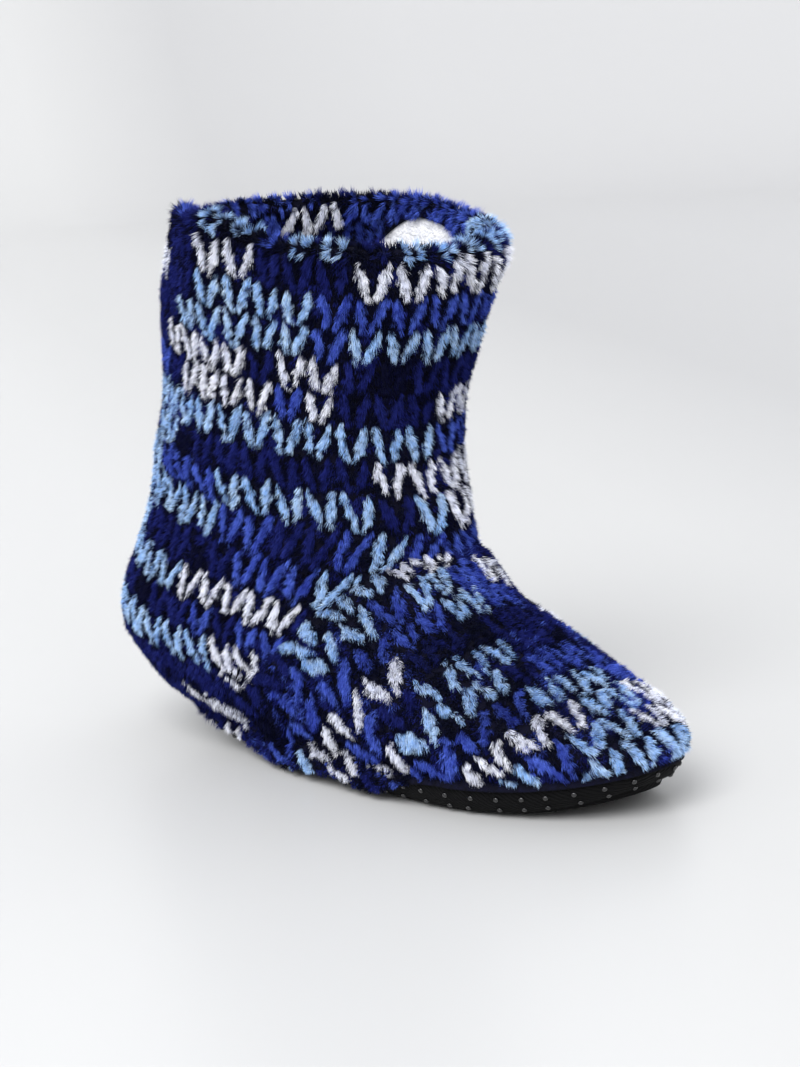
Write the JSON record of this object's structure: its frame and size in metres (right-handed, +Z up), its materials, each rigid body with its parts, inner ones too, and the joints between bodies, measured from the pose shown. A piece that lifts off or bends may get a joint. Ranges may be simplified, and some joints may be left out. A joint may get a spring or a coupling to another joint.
{
  "type": "bootie slipper",
  "caption": "Ankle-high bootie slipper with a plush sock-like upper in a blue knit-look pattern, a plush collar facing, a padded insole and a soft black cloth sole.",
  "frame": {"origin": "on the floor, at the middle of the flat spot under the heel", "axes": "+X towards the toe, +Z up, the outer side of the foot towards -Y"},
  "size_m": [0.2533, 0.1048, 0.2],
  "materials": {
    "plush": "short dense plush with a chevron knit-look print in navy, royal blue, light blue and white",
    "facing_plush": "the same plush, turned in over the rim",
    "sole_cloth": "black ribbed cloth with small glossy grip dots",
    "insole_cloth": "white fleece"
  },
  "bodies": {
    "root": {"upper": "plush", "collar_facing": "facing_plush", "sole": "sole_cloth", "insole": "insole_cloth"}
  },
  "joints": []
}
